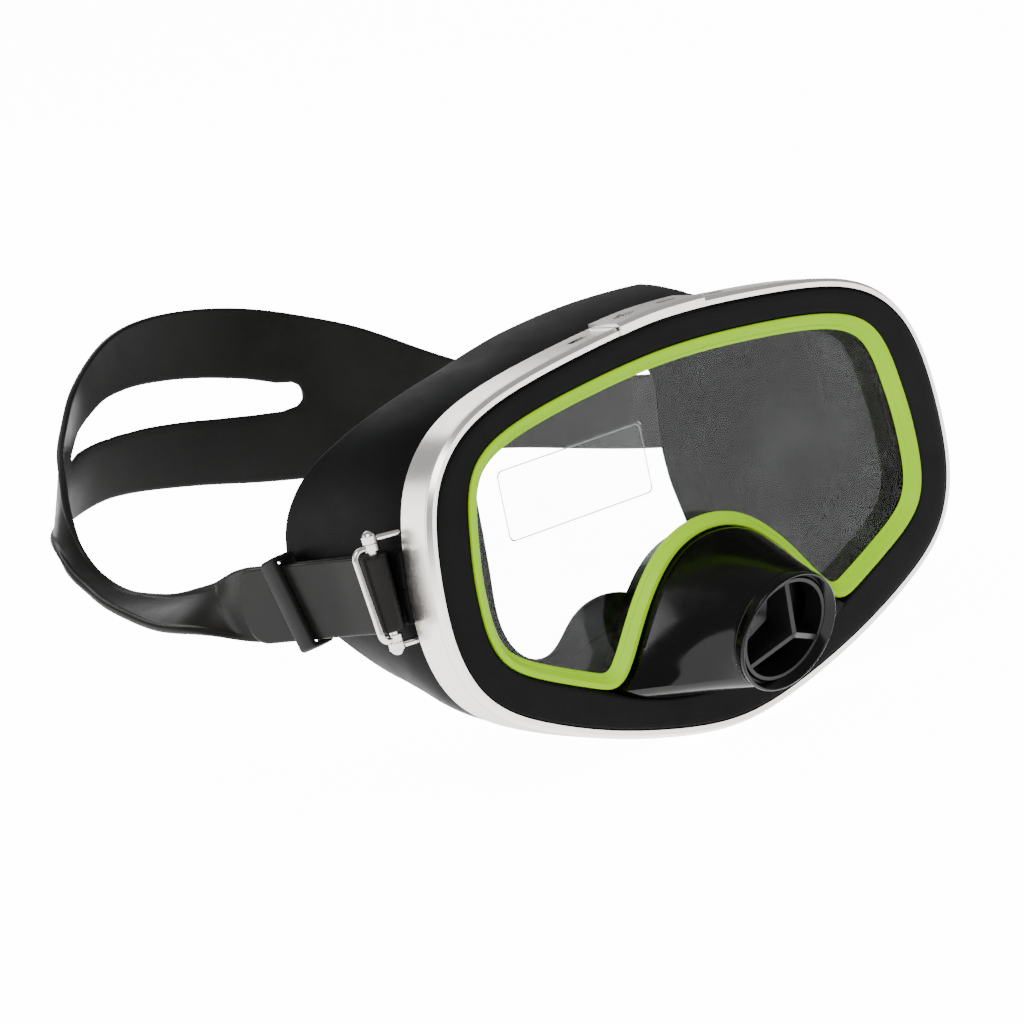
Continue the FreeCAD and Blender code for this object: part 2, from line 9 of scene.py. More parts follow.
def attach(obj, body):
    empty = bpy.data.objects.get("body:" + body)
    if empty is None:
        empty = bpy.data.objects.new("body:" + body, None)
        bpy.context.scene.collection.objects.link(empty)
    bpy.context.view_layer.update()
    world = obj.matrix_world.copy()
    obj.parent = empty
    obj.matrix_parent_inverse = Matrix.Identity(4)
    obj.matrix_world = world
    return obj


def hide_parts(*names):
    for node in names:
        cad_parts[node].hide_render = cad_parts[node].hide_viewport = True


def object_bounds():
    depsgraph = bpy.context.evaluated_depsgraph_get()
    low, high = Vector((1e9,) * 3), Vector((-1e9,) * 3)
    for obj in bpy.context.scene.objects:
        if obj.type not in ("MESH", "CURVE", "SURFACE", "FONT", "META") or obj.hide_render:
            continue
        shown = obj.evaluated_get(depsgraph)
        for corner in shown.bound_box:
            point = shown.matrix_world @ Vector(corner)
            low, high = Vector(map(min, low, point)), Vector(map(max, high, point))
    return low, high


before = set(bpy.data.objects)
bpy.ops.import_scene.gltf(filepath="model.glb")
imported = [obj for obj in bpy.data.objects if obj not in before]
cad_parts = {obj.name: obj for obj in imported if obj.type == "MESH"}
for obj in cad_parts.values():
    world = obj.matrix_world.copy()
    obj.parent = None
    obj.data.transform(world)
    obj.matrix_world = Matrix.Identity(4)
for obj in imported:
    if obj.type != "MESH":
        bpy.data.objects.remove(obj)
old_low, old_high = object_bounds()
MM = 0.001

# ---------------------------------------------------------------- camera
RIGHT = Vector((0.7470774, -0.6311220, -0.2087111))
ABOVE = Vector((0.2753646, 0.0080546, 0.9613061))
AHEAD = Vector((0.6050204, 0.7756417, -0.1798060))
camera_data = bpy.data.cameras.new("camera")
camera_data.sensor_width = 36.0
camera_data.lens = 193.36
camera_data.clip_end = 100
camera = bpy.data.objects.new("camera", camera_data)
bpy.context.scene.collection.objects.link(camera)
pose = Matrix((RIGHT, ABOVE, -AHEAD)).transposed().to_4x4()
pose.translation = Vector((-0.878407, -1.049091, 0.261733))
camera.matrix_world = pose
bpy.context.scene.camera = camera

# ---------------------------------------------------------------- shapes shared with the CAD, in mm
# Half outlines, x >= 0, from the top centre clockwise to the bottom centre: (x, z).
RIM = [(0, 51.9), (11, 51.5), (31.5, 49.6), (50, 47.0), (62.5, 43.9), (70.5, 40.2),
       (76.2, 35.6), (80.6, 29.6), (83.6, 21.5), (85.4, 10), (85.8, -1), (85.2, -8.5),
       (83.6, -15), (80.2, -21.8), (73.8, -28.4), (63.4, -34.6), (51.8, -39.8),
       (39.5, -44.3), (25.5, -48.3), (11.8, -51.2), (0, -52.2)]
OVAL = [(0, 44.5), (9, 44.3), (30, 42.7), (47, 40.5), (57, 38.3), (63.6, 35.7),
        (68.6, 31.8), (71.8, 26.3), (74.0, 17.5), (75.5, 7), (75.8, -2.5), (74.9, -10.4),
        (72.2, -16.4), (67.3, -20.9), (59.5, -25.2), (51.5, -28.9), (44, -32.4),
        (36, -36.2), (26, -39.8), (13, -42.5), (0, -43.3)]
SKIRT_17 = [(0, 55), (11, 54.7), (32, 52.8), (51.5, 50.0), (64.5, 46.6), (73, 42.5),
            (79, 37.2), (83.6, 30.6), (86.6, 21.7), (88.2, 10), (88.4, -1), (87.4, -9),
            (85.2, -16.2), (81.4, -23.2), (74.4, -29.8), (63.8, -35.8), (52.2, -40.8),
            (39.7, -45.2), (25.5, -49.1), (11.8, -51.8), (0, -52.6)]
SKIRT_35 = [(0, 57), (14, 56.7), (32, 55.3), (50, 53), (64, 49.4), (74, 44.5), (82, 37),
            (87.5, 28), (90.5, 17), (91, 6), (89.2, -4), (85.2, -12.5), (79.5, -20),
            (71.5, -26.6), (61.5, -32.4), (50, -37.4), (37.5, -41.8), (24.5, -45.4),
            (11.5, -47.6), (0, -48.2)]
SKIRT_62 = [(0, 60.5), (14, 60.2), (32, 58.8), (50, 56.3), (66, 52), (78, 45.5),
            (87, 36), (92, 26), (94.2, 15), (93.2, 3), (88.2, -7), (81, -15.5),
            (72.5, -22), (62.5, -27.6), (51, -32.4), (38.5, -36.4), (26, -39.2),
            (13, -41), (0, -41.6)]
FACE = [(0, 38.5), (10, 38.3), (20, 37.3), (27, 34.2), (31, 28.5), (32.2, 20), (32.3, 10),
        (32.8, 0), (34, -9), (35, -17), (34.2, -24.5), (30.5, -29.5), (24.5, -31), (17.5, -28.6),
        (11, -24.6), (5.5, -22.6), (0, -22)]
SEAL_DEPTH, SEAL_T = 50.0, 1.1
# Where the skirt's rear edge lies: (angle above the horizontal in degrees, depth).
REAR_EDGE = [(90, 35), (63, 33.5), (45, 29), (36, 32), (30, 38), (25.8, 44.5), (22.6, 48.5),
             (17.4, 51.3), (13.8, 52.5), (2, 51), (-3, 46.7), (-6.7, 42), (-11, 39.8),
             (-15, 38.6), (-25, 38.4), (-39, 38), (-59, 37), (-90, 36)]
ARCH = [(38.2, -34.2), (36.7, -33.0), (33.9, -30.7), (31.3, -27.3), (28.3, -22.9),
        (23.8, -16.8), (18.8, -11.4), (12.8, -7.0), (6.6, -4.5), (0, -3.7)]
FOOT_LOW = [(38.2, -34.2), (35.5, -36.1), (26, -39.7), (13, -42.3), (0, -43.1)]
ARCH_IN = [(33.9, -34.2), (32.0, -32.2), (29.2, -28.7), (26.2, -24.3), (21.8, -18.3),
           (17.1, -13.3), (11.5, -9.3), (6.0, -7.0), (0, -6.2)]
FOOT_LOW_IN = [(33.9, -34.2), (25.2, -37.4), (12.7, -39.9), (0, -40.6)]
TAU = math.radians(22.5)
OUTLET = np.array([0, -23.4, -29.9])
TUBE_R, BORE_R, TUBE_L, BORE_L = 16.3, 14.0, 3.6, 14.0
BASE_FRONT, FOOT_REAR = -2.3, 11.0
WALL = 2.4
PIN = np.array([92.1, 15.9, 7.0])
RUN_OUT, RUN_DOWN = math.radians(8.5), math.radians(3.0)
LAYER, WRAP, STRAP_T, STRAP_W, TAIL_L = 1.2, 2.2, 2.0, 19.5, 48.0
KEEPER_AT, KEEPER_SLANT = 30.0, math.radians(16)
# The keeper's inner side is thinner; half sizes above KEEPER_WINDOW belong to its outside.
KEEPER_INSIDE, WINDOW_INSIDE, KEEPER_WINDOW = 3.5 / 4.4, 2.45 / 2.75, 3.5
PAD_HALF, PAD_FRONT, PAD_REAR = 9.4, 12.15, 14.65
LABEL_AT, LABEL_HALF, LABEL_LEAN = (-33.3, 6.56, 18.6), (24.5, 9.5), math.radians(-0.5)
# The loop from the left keeper round the head to the right: each station's upper and lower edge.
STRAP_LOOP = [
    ((-95.2, 79.7, 9.3), (-105.2, 79.3, -1.4)),
    ((-93.0, 91.5, 6.5), (-108.0, 91.5, 0.2)),
    ((-92.2, 104.1, 4.3), (-108.2, 104.9, 3.4)),
    ((-92.0, 114.8, 4.0), (-106.9, 116.1, 6.4)),
    ((-92.0, 125.5, 5.0), (-103.4, 127.3, 9.0)),
    ((-91.8, 137.2, 10.5), (-100.5, 137.3, 11.8)),
    ((-89.0, 146.9, 19.0), (-96.0, 147.3, 14.6)),
    ((-84.6, 154.9, 27.0), (-89.8, 157.8, 16.0)),
    ((-78.8, 162.6, 33.0), (-83.8, 166.8, 15.8)),
    ((-71.7, 171.8, 38.0), (-76.2, 176.4, 15.4)),
    ((-62.8, 180.4, 43.0), (-66.2, 185.4, 15.5)),
    ((-54.2, 187.2, 48.5), (-55.9, 191.2, 16.0)),
    ((-44.3, 192.1, 54.0), (-45.3, 194.9, 16.2)),
    ((-34.0, 195.5, 58.3), (-34.5, 197.5, 15.0)),
    ((-21.4, 198.4, 60.2), (-21.5, 199.4, 12.6)),
    ((-6.5, 200.0, 59.4), (-6.5, 200.0, 9.4)),
    ((8.5, 199.6, 56.7), (8.5, 199.6, 5.8)),
    ((21.3, 197.9, 52.9), (21.3, 197.9, 3.2)),
    ((35.8, 193.9, 46.8), (35.8, 193.9, 0.6)),
    ((47.5, 188.4, 40.6), (47.5, 188.4, -0.8)),
    ((59.1, 180.4, 31.8), (59.1, 180.4, -0.8)),
    ((69.7, 169.9, 23.6), (69.7, 169.9, -1.4)),
    ((80.8, 153.3, 17.0), (80.8, 153.3, -4.2)),
    ((90.3, 130.3, 14.2), (90.3, 130.3, -7.0)),
    ((96.8, 101.1, 13.6), (96.8, 101.1, -7.2)),
]
# The slot: plan position, lower and upper edge.
STRAP_SLOT = [(-62.0, 185.6, 31.0, 32.4), (-55.0, 189.4, 32.2, 37.5), (-47.7, 192.5, 32.5, 40.5),
              (-40.1, 195.0, 32.2, 42.8), (-31.3, 197.2, 31.6, 43.4), (-16.5, 199.4, 29.9, 42.1),
              (-1.5, 200.0, 27.0, 38.9), (12.4, 199.2, 24.5, 34.9), (21.3, 197.9, 23.2, 31.4),
              (25.6, 196.9, 23.5, 30.4), (27.6, 196.4, 24.9, 28.8)]


# ---------------------------------------------------------------- number helpers
def smooth(x, a, b):
    t = np.clip((np.asarray(x, float) - a) / (b - a), 0, 1)
    return t * t * (3 - 2 * t)


def spline(points, per=24, loop=True):
    """A cubic spline through the points, sampled per times between each two."""
    p = np.array(points, float)
    count = len(p)
    spans = count if loop else count - 1
    h = np.linalg.norm(np.roll(p, -1, 0) - p, axis=1)
    a, b = np.zeros((count, count)), np.zeros(p.shape)
    for i in range(count):
        if not loop and i in (0, count - 1):
            a[i, i] = 1.0
            continue
        k = (i + 1) % count
        a[i, i - 1] += h[i - 1]
        a[i, i] += 2 * (h[i - 1] + h[i])
        a[i, k] += h[i]
        b[i] = 6 * ((p[k] - p[i]) / h[i] - (p[i] - p[i - 1]) / h[i - 1])
    m = np.linalg.solve(a, b)
    out = []
    for i in range(spans):
        k, d = (i + 1) % count, h[i]
        t = np.linspace(0, d, per, endpoint=False)[:, None]
        out.append((m[i] * (d - t) ** 3 + m[k] * t ** 3) / (6 * d)
                   + (p[i] / d - m[i] * d / 6) * (d - t) + (p[k] / d - m[k] * d / 6) * t)
    if not loop:
        out.append(p[-1:])
    return np.concatenate(out)


def even(points, count):
    """The open line resampled to count evenly spaced points."""
    steps = np.linalg.norm(np.diff(points, axis=0), axis=1)
    s = np.concatenate([[0], np.cumsum(steps)])
    t = np.linspace(0, s[-1], count)
    return np.stack([np.interp(t, s, points[:, i]) for i in range(points.shape[1])], 1)


def closed(half):
    return spline(list(half) + [(-x, z) for x, z in reversed(half[1:-1])])


def moved_out(points, d):
    t = np.roll(points, -1, 0) - np.roll(points, 1, 0)
    t /= np.linalg.norm(t, axis=1)[:, None]
    return points + d * np.stack([-t[:, 1], t[:, 0]], 1)


AROUND = 400
ANGLE = np.arange(AROUND) * 2 * math.pi / AROUND
COS, SIN = np.cos(ANGLE), np.sin(ANGLE)


def polar(points):
    """The outline's distance from the centre at each of the shared angles."""
    return np.interp(ANGLE, np.arctan2(points[:, 1], points[:, 0]), np.hypot(*points.T),
                     period=2 * math.pi)


def through(values, places, y):
    """The cubic through four values at four places, at y."""
    total = 0
    for i, (v, p) in enumerate(zip(values, places)):
        w = 1.0
        for j, q in enumerate(places):
            if j != i:
                w = w * (y - q) / (p - q)
        total = total + v * w
    return total


# ---------------------------------------------------------------- mesh helpers
def piece(name, verts, faces, body, material, replaces=(), sharp=40, merge=0.0):
    mesh = bpy.data.meshes.new(name)
    mesh.from_pydata([tuple(v) for v in np.asarray(verts) * MM], [], faces)
    bm = bmesh.new()
    bm.from_mesh(mesh)
    if merge:
        bmesh.ops.remove_doubles(bm, verts=bm.verts, dist=merge)
    bmesh.ops.dissolve_degenerate(bm, edges=bm.edges, dist=1e-8)
    bmesh.ops.recalc_face_normals(bm, faces=bm.faces)
    bm.to_mesh(mesh)
    bm.free()
    mesh.validate()
    mesh.shade_smooth()
    mesh.set_sharp_from_angle(angle=math.radians(sharp))
    mesh.materials.append(material)
    obj = bpy.data.objects.new(name, mesh)
    bpy.context.scene.collection.objects.link(obj)
    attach(obj, body)
    if replaces:
        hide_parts(*replaces)
    return obj


def skinned(rings):
    """Faces between closed rings of equal length, the last joined to the first."""
    rings = [np.asarray(r) for r in rings]
    n, verts, faces = len(rings[0]), np.concatenate(rings), []
    for i in range(len(rings)):
        a, b = i * n, ((i + 1) % len(rings)) * n
        for k in range(n):
            j = (k + 1) % n
            faces.append((a + k, a + j, b + j, b + k))
    return verts, faces


# ---------------------------------------------------------------- materials
class Nodes:
    """A material's node tree, built a few nodes at a time."""

    def __init__(self, name):
        self.material = bpy.data.materials.new(name)
        self.material.use_nodes = True
        self.tree = self.material.node_tree
        self.shader = self.tree.nodes["Principled BSDF"]
        self.output = self.tree.nodes["Material Output"]
        self.place = self.add("ShaderNodeTexCoord").outputs["Object"]

    def add(self, kind, **settings):
        node = self.tree.nodes.new(kind)
        for key, value in settings.items():
            setattr(node, key, value)
        return node

    def link(self, a, b):
        self.tree.links.new(a, b)

    def noise(self, scale, detail=3.0, rough=0.55, stretch=None):
        node = self.add("ShaderNodeTexNoise")
        node.inputs["Scale"].default_value = scale
        node.inputs["Detail"].default_value = detail
        node.inputs["Roughness"].default_value = rough
        source = self.place
        if stretch:
            mapping = self.add("ShaderNodeMapping")
            mapping.inputs["Scale"].default_value = stretch
            self.link(source, mapping.inputs["Vector"])
            source = mapping.outputs["Vector"]
        self.link(source, node.inputs["Vector"])
        return node.outputs["Fac"]

    def remap(self, value, a, b, low, high):
        node = self.add("ShaderNodeMapRange")
        for key, number in (("From Min", a), ("From Max", b), ("To Min", low), ("To Max", high)):
            node.inputs[key].default_value = number
        self.link(value, node.inputs["Value"])
        return node.outputs["Result"]

    def mix(self, factor, a, b):
        node = self.add("ShaderNodeMix", data_type="RGBA")
        self.link(factor, node.inputs[0])
        for socket, colour in ((node.inputs[6], a), (node.inputs[7], b)):
            if isinstance(colour, tuple):
                socket.default_value = (*colour, 1.0)
            else:
                self.link(colour, socket)
        return node.outputs[2]

    def bump(self, height, depth, normal=None):
        node = self.add("ShaderNodeBump")
        node.inputs["Distance"].default_value = depth
        self.link(height, node.inputs["Height"])
        if normal is not None:
            self.link(normal, node.inputs["Normal"])
        return node.outputs["Normal"]

    def set(self, **values):
        for key, value in values.items():
            self.shader.inputs[key.replace("_", " ")].default_value = value


def rubber(name, dark, light, rough, grain, dust=0.05, specular=0.5):
    n = Nodes(name)
    cloudy = n.remap(n.noise(38.0, 4.0), 0.3, 0.7, 0.0, 1.0)
    colour = n.mix(cloudy, dark, light)
    specks = n.remap(n.noise(1500.0, 1.0), 0.76, 0.82, 0.0, dust)
    colour = n.mix(specks, colour, (0.45, 0.45, 0.44))
    n.link(colour, n.shader.inputs["Base Color"])
    smudge = n.remap(n.noise(75.0, 5.0, 0.6), 0.3, 0.7, rough - 0.06, rough + 0.08)
    n.link(smudge, n.shader.inputs["Roughness"])
    wavy = n.bump(n.noise(55.0, 2.0), 0.00012)
    n.link(n.bump(n.noise(2600.0, 2.0), grain, wavy), n.shader.inputs["Normal"])
    n.set(Specular_IOR_Level=specular)
    return n.material


def metal(name, colour, rough, stretch, scratch):
    n = Nodes(name)
    warm = tuple(c * f for c, f in zip(colour, (1.0, 0.975, 0.95)))
    n.link(n.mix(n.remap(n.noise(30.0, 3.0), 0.35, 0.65, 0, 1), colour, warm),
           n.shader.inputs["Base Color"])
    handled = n.remap(n.noise(60.0, 5.0, 0.65), 0.3, 0.75, rough - 0.04, rough + 0.09)
    n.link(handled, n.shader.inputs["Roughness"])
    lines = n.noise(900.0, 2.0, 0.5, stretch)
    n.link(n.bump(lines, scratch), n.shader.inputs["Normal"])
    n.set(Metallic=1.0)
    return n.material


def bright_trim():
    n = Nodes("lime_trim")
    n.link(n.mix(n.remap(n.noise(45.0, 3.0), 0.3, 0.7, 0, 1), (0.46, 0.93, 0.0),
                 (0.52, 0.97, 0.002)), n.shader.inputs["Base Color"])
    n.link(n.remap(n.noise(140.0, 3.0), 0.3, 0.7, 0.26, 0.40), n.shader.inputs["Roughness"])
    n.link(n.bump(n.noise(420.0, 2.0), 0.00006), n.shader.inputs["Normal"])
    n.set(Specular_IOR_Level=0.1)
    return n.material


def clear(name, tint, stain, low, high, gloss):
    """A clear sheet: what is behind it, its reflection, and faint dust on top."""
    n = Nodes(name)
    see = n.add("ShaderNodeBsdfTransparent")
    see.inputs["Color"].default_value = (*tint, 1)
    shine = n.add("ShaderNodeBsdfGlossy")
    shine.inputs["Roughness"].default_value = gloss
    fresnel = n.add("ShaderNodeFresnel")
    fresnel.inputs["IOR"].default_value = 1.22
    pane = n.add("ShaderNodeMixShader")
    n.link(fresnel.outputs["Fac"], pane.inputs[0])
    n.link(see.outputs[0], pane.inputs[1])
    n.link(shine.outputs[0], pane.inputs[2])
    dust = n.add("ShaderNodeBsdfDiffuse")
    dust.inputs["Color"].default_value = (0.82, 0.85, 0.86, 1)
    blotch = n.remap(n.noise(60.0, 6.0, 0.7), 0.48, 0.74, low, high)
    fine = n.remap(n.noise(700.0, 2.0, 0.6), 0.62, 0.72, 0.0, stain)
    both = n.add("ShaderNodeMath", operation="MULTIPLY_ADD")
    n.link(blotch, both.inputs[0])
    n.link(fine, both.inputs[1])
    n.link(blotch, both.inputs[2])
    mixed = n.add("ShaderNodeMixShader")
    n.link(both.outputs[0], mixed.inputs[0])
    n.link(pane.outputs[0], mixed.inputs[1])
    n.link(dust.outputs[0], mixed.inputs[2])
    n.tree.nodes.remove(n.shader)
    n.link(mixed.outputs[0], n.output.inputs["Surface"])
    return n.material


RUBBER = rubber("matte_rubber", (0.0022, 0.0022, 0.0024), (0.004, 0.004, 0.0043), 0.46, 0.00002,
                specular=0.08)
NOSE_RUBBER = rubber("gloss_rubber", (0.002, 0.002, 0.0021), (0.003, 0.003, 0.0032), 0.15,
                     0.000004, 0.02, specular=0.22)
STRAP_RUBBER = rubber("strap_rubber", (0.009, 0.0084, 0.008), (0.0145, 0.0137, 0.013), 0.36,
                      0.000015, specular=0.13)
KEEPER_RUBBER = rubber("keeper_rubber", (0.008, 0.0078, 0.0076), (0.012, 0.0117, 0.0114), 0.42,
                       0.000015, specular=0.16)
VALVE_RUBBER = rubber("valve_rubber", (0.016, 0.016, 0.018), (0.025, 0.025, 0.028), 0.36, 0.00001)
GUARD_PLASTIC = rubber("guard_plastic", (0.010, 0.010, 0.0112), (0.015, 0.015, 0.0166), 0.34,
                       0.00001, specular=0.28)
STEEL = metal("polished_band", (0.95, 0.925, 0.89), 0.24, (0.15, 6.0, 0.15), 0.000002)
SATIN = metal("satin_band", (0.66, 0.65, 0.64), 0.32, (0.2, 5.0, 0.2), 0.00001)
WIRE = metal("bright_wire", (0.78, 0.77, 0.75), 0.20, (1.0, 1.0, 1.0), 0.000012)
LIME = bright_trim()
GLASS = clear("lens_glass", (0.965, 0.98, 0.975), 1.2, 0.0, 0.036, 0.02)
FILM = clear("label_film", (0.98, 0.985, 0.985), 0.4, 0.008, 0.02, 0.08)
CAD_LOOKS = {"lens": GLASS, "window_trim": LIME, "lens_gasket": LIME, "lens_label": FILM,
             "steel_band": STEEL, "band_bridge": STEEL, "band_splice": SATIN,
             "purge_guard": GUARD_PLASTIC, "valve_seat": GUARD_PLASTIC, "valve_disc": VALVE_RUBBER}
for side in ("left", "right"):
    for part in ("buckle_bow_", "buckle_pin_", "lug_bracket_"):
        CAD_LOOKS[part + side] = WIRE
for node, look in CAD_LOOKS.items():
    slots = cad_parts[node].data.materials
    for index in range(len(slots)):
        slots[index] = look


# ---------------------------------------------------------------- rubber body
RIM_LINE, OVAL_LINE = closed(RIM), closed(OVAL)
LINE_17, LINE_35, LINE_62, FACE_LINE = (closed(h) for h in (SKIRT_17, SKIRT_35, SKIRT_62, FACE))
R35 = polar(LINE_35)
SKIRT_START = 11.0
OUTER_AT, INNER_AT = (SKIRT_START, 17.0, 35.0, 62.0), (8.8, 14.0, 35.0, 62.0)
OUTER = [polar(moved_out(RIM_LINE, 1.2)), polar(LINE_17), R35, polar(LINE_62)]
INNER = [polar(moved_out(RIM_LINE, -5.0)), polar(moved_out(RIM_LINE, -2.2)),
         polar(moved_out(LINE_35, -WALL)), polar(moved_out(LINE_62, -WALL))]
EDGE_DEG = np.arange(-90, 90.5, 0.5)
EDGE_Y = np.interp(EDGE_DEG, [a for a, _ in REAR_EDGE[::-1]], [y for _, y in REAR_EDGE[::-1]])
SPREAD = 7                              # samples on each side that the edge is averaged over
EDGE_Y = np.convolve(np.pad(EDGE_Y, SPREAD, mode="reflect"),
                     np.ones(2 * SPREAD + 1) / (2 * SPREAD + 1), mode="valid")


def rear_depth(x, z):
    """Depth of the curved surface that the face rests against."""
    x = np.abs(x)
    angle = np.arctan2(z, x)
    edge = np.interp(np.degrees(angle), EDGE_DEG, EDGE_Y)
    outline = np.interp(angle, ANGLE, R35, period=2 * math.pi)
    share = np.minimum(1.35, np.hypot(x, z) / outline)
    return SEAL_DEPTH + (edge - SEAL_DEPTH) * share ** 3


def slumped(r, y):
    """The soft wall sags behind the band: down over the right half, up along the bottom."""
    x, z = r * COS, r * SIN
    drop = 7.5 * smooth(x, 22, 27) * (1 - smooth(x, 66, 86)) * smooth(y, 12, 19) * smooth(z, 18, 40)
    lift = 1.2 * smooth(-z, 8, 24) * smooth(y, 14, 30)
    return r - drop - lift


def outer_wall(y):
    return slumped(through(OUTER, OUTER_AT, y), y)


def inner_wall(y):
    return slumped(through(INNER, INNER_AT, y), y)


def ring(r, y):
    return np.stack([r * COS, np.broadcast_to(y, r.shape), r * SIN], 1)


FIRST_EDGE, EDGE_STEPS = 40.0, 12       # where the search for the rear edge starts, and its length


def make_body():
    rim = [polar(moved_out(RIM_LINE, d)) for d in (-1.0, -0.55, -0.3, 0.0, 1.2)]
    window = polar(moved_out(OVAL_LINE, 0.1))
    face = polar(FACE_LINE)
    rings = [ring(window, 6.5), ring(window, 3.5), ring(window, 0.6), ring(window + 0.12, 0.2),
             ring(window + 0.5, 0.0)]
    rings += [ring(window + (rim[0] - window) * t, 0.0) for t in (0.15, 0.4, 0.7)]
    rings += [ring(rim[0], 0.0), ring(rim[1], 0.08), ring(rim[2], 0.3), ring(rim[3], 1.0),
              ring(rim[3], 1.25), ring(rim[4], 1.3), ring(rim[4], 6.0), ring(rim[4], 10.6)]
    edge_y = np.full(AROUND, FIRST_EDGE)
    for _ in range(EDGE_STEPS):
        r = outer_wall(edge_y)
        edge_y = 0.5 * edge_y + 0.5 * rear_depth(r * COS, r * SIN)
    for t in np.linspace(0, 1, 44)[1:]:
        y = SKIRT_START + (edge_y - SEAL_T - SKIRT_START) * t
        rings.append(ring(outer_wall(y), y))
    tip = outer_wall(edge_y)
    rings += [ring(tip - 0.15, edge_y - 0.6), ring(tip - 0.5, edge_y - 0.2)]

    def seal(t, forward):
        r = face + (tip - SEAL_T - face) * t
        return ring(r, rear_depth(r * COS, r * SIN) - forward)

    spans = np.linspace(1, 0, 26)
    rings += [seal(t, 0.0) for t in spans]
    rings += [ring(face - 0.3, rear_depth(face * COS, face * SIN) - 0.35),
              ring(face - 0.3, rear_depth(face * COS, face * SIN) - 0.75)]
    reach = tip - SEAL_T - face
    inward = []
    for t in list(np.linspace(0, 0.5, 30)) + list(np.linspace(0.5, 0.93, 14)[1:]):
        out = reach * t
        ridge = 0.9 * np.exp(-((out - 8.0) / 0.85) ** 2)
        inward.append(seal(t, SEAL_T + 0.9 * smooth(out, 0, 12) + ridge))
    rings += inward
    corner = inward[-1]
    start_y = corner[:, 1] - 1.4
    rings.append(ring(inner_wall(start_y + 0.7) - 0.9, start_y + 0.75))
    for t in np.linspace(0, 1, 30):
        y = start_y + (9.2 - start_y) * t
        rings.append(ring(inner_wall(y), y))
    lip = 2.0 * np.maximum(smooth(window * SIN, -24, -16), smooth(np.abs(window * COS), 50, 58))
    rings += [ring(inner_wall(np.full(AROUND, 8.9)) - 0.4, 8.8), ring(window + 0.6, 8.8),
              ring(window - lip + 0.25, 8.75), ring(window - lip, 8.4),
              ring(window - lip, 7.0), ring(window - lip + 0.2, 6.75), ring(window, 6.7)]
    verts, faces = skinned(rings)
    return piece("body", verts, faces, "mask", RUBBER, ["rubber_body"], 38)


# ---------------------------------------------------------------- nose pocket
AXIS = np.array([0, -math.cos(TAU), -math.sin(TAU)])
SIDE = np.array([1.0, 0, 0])
UP = np.cross(AXIS, SIDE)
OVER, UNDER = 150, 70


def circle(r, back):
    deg = np.concatenate([np.linspace(-40, 220, OVER + 1)[:-1],
                          np.linspace(220, 320, UNDER + 1)[:-1]])
    a = np.radians(deg)[:, None]
    return OUTLET - AXIS * back + SIDE * r * np.cos(a) + UP * r * np.sin(a)


def foot(arch, low, y):
    over = spline(list(arch) + [(-x, z) for x, z in reversed(arch[:-1])], 24, False)
    under = spline([(-x, z) for x, z in low] + [(x, z) for x, z in reversed(low[:-1])], 24, False)
    p = np.concatenate([even(over, OVER + 1)[:-1], even(under, UNDER + 1)[:-1]])
    return np.stack([p[:, 0], np.full(len(p), y), p[:, 1]], 1)


def make_nose():
    outer_foot, inner_foot = (foot(ARCH, FOOT_LOW, BASE_FRONT), foot(ARCH_IN, FOOT_LOW_IN, -1.0))
    mouth, throat = circle(TUBE_R, TUBE_L), circle(BORE_R, BORE_L)
    rings = [foot(ARCH, FOOT_LOW, y) for y in (FOOT_REAR, 4.0, BASE_FRONT + 0.6)]
    for t in np.linspace(0, 1, 30):
        p = outer_foot * (1 - t) + mouth * t
        rings.append(p + (p.mean(0) - p) * 0.006 * math.sin(math.pi * t))
    rings += [circle(TUBE_R, 3.15), circle(TUBE_R - 0.2, 3.0), circle(TUBE_R - 0.2, 2.8),
              circle(TUBE_R, 2.62), circle(TUBE_R, 1.5), circle(TUBE_R - 0.03, 0.5),
              circle(TUBE_R - 0.15, 0.18), circle(TUBE_R - 0.4, 0.02), circle(TUBE_R - 0.65, 0.08),
              circle(TUBE_R - 0.85, 0.3), circle(BORE_R + 0.25, 2.1), circle(BORE_R + 0.04, 2.5),
              circle(BORE_R, 3.0), circle(BORE_R, 7.0)]
    rings += [throat * (1 - t) + inner_foot * t for t in np.linspace(0, 1, 16)]
    rings += [foot(ARCH_IN, FOOT_LOW_IN, 4.0), foot(ARCH_IN, FOOT_LOW_IN, FOOT_REAR)]
    verts, faces = skinned(rings)
    return piece("nose_pocket", verts, faces, "mask", NOSE_RUBBER,
                 ["nose_cone"], 42)


# ---------------------------------------------------------------- strap
RUN = np.array([math.sin(RUN_OUT) * math.cos(RUN_DOWN), math.cos(RUN_OUT) * math.cos(RUN_DOWN),
                -math.sin(RUN_DOWN)])
OUT = np.array([math.cos(RUN_OUT), -math.sin(RUN_OUT), 0.0])
WIDE = np.cross(OUT, RUN)
WIDE /= np.linalg.norm(WIDE)
MIRROR = np.array([-1.0, 1.0, 1.0])


def at(u, n, w=0.0):
    return PIN + RUN * u + OUT * n + WIDE * w


def end_stations():
    """Both edges of the tail, the turn round the pin and the inner layer, up to the loop."""
    path = [(u, LAYER) for u in np.linspace(TAIL_L, 14, 26)]
    path += [(u, LAYER + (WRAP - LAYER) * float(smooth(14 - u, 0, 14)))
             for u in np.linspace(12.5, 0.5, 10)]
    path += [(-WRAP * math.sin(a), WRAP * math.cos(a)) for a in np.linspace(0, math.pi, 15)]
    path += [(u, -LAYER - (WRAP - LAYER) * float(smooth(14 - u, 0, 14)))
             for u in np.linspace(0.5, 14, 11)]
    path += [(u, -LAYER) for u in np.linspace(16, 40, 14)]
    h = STRAP_W / 2
    return ([at(u, n, h) for u, n in path], [at(u, n, -h) for u, n in path])


